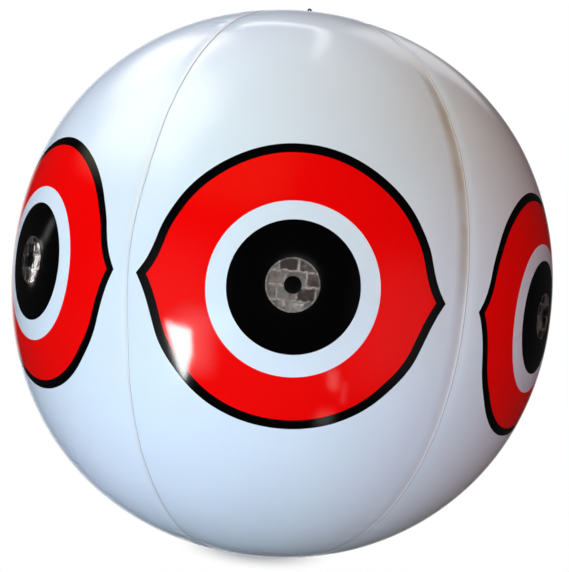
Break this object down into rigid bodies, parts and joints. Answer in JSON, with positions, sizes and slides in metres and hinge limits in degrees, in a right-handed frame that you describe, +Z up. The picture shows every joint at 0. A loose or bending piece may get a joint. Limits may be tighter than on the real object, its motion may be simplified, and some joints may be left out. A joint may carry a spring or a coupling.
{
  "type": "inflatable bird scare balloon",
  "caption": "Inflated ball of welded film gores printed with big staring eyes, hung by a loop at the top, with an air valve below, to keep birds off crops and fruit.",
  "frame": {"origin": "centre of the hang loop's eye, the point that the balloon hangs from", "axes": "+Z up through the hang loop and the valve, -Y out through the middle of gore_1, +X to the right of a viewer who faces gore_1"},
  "size_m": [0.403, 0.407, 0.421],
  "materials": {
    "printed_film": "glossy white film with printed eyes in red, black and white",
    "plain_film": "glossy plain white film",
    "pupil_foil": "grey holographic foil sticker, finely lined",
    "black_moulding": "soft black moulding, satin",
    "valve_moulding": "soft milky moulding, satin",
    "valve_web": "thin flexible milky web, satin"
  },
  "bodies": {
    "ball": {"gore_1": "printed_film", "gore_2": "printed_film", "gore_3": "printed_film", "gore_4": "printed_film", "gore_5": "printed_film", "gore_6": "printed_film", "foil_disc_1": "pupil_foil", "foil_disc_2": "pupil_foil", "foil_disc_3": "pupil_foil", "foil_disc_4": "pupil_foil", "foil_disc_5": "pupil_foil", "foil_disc_6": "pupil_foil", "top_cap": "plain_film", "top_backing": "plain_film", "hang_loop": "black_moulding", "bottom_cap": "plain_film", "valve_flange": "valve_moulding", "valve_diaphragm": "valve_web"},
    "stem": {"valve_stem": "valve_moulding"},
    "plug": {"valve_plug": "valve_moulding"},
    "flap": {"check_flap": "valve_web"}
  },
  "joints": [
    {"name": "valve_stem_slide", "type": "slide", "parent": "ball", "child": "stem", "axis": [0, 0, -1], "range_m": [0, 0.012], "deforming": ["valve_diaphragm"]},
    {"name": "valve_plug_hinge", "type": "hinge", "parent": "stem", "child": "plug", "pos_m": [0.0074, 0, -0.4157], "axis": [0, -1, 0], "range_deg": [0, 120]},
    {"name": "check_flap_hinge", "type": "hinge", "parent": "stem", "child": "flap", "pos_m": [0.0056, 0, -0.40185], "axis": [0, 1, 0], "range_deg": [0, 60], "stiffness_Nm_per_rad": 0.00002}
  ]
}
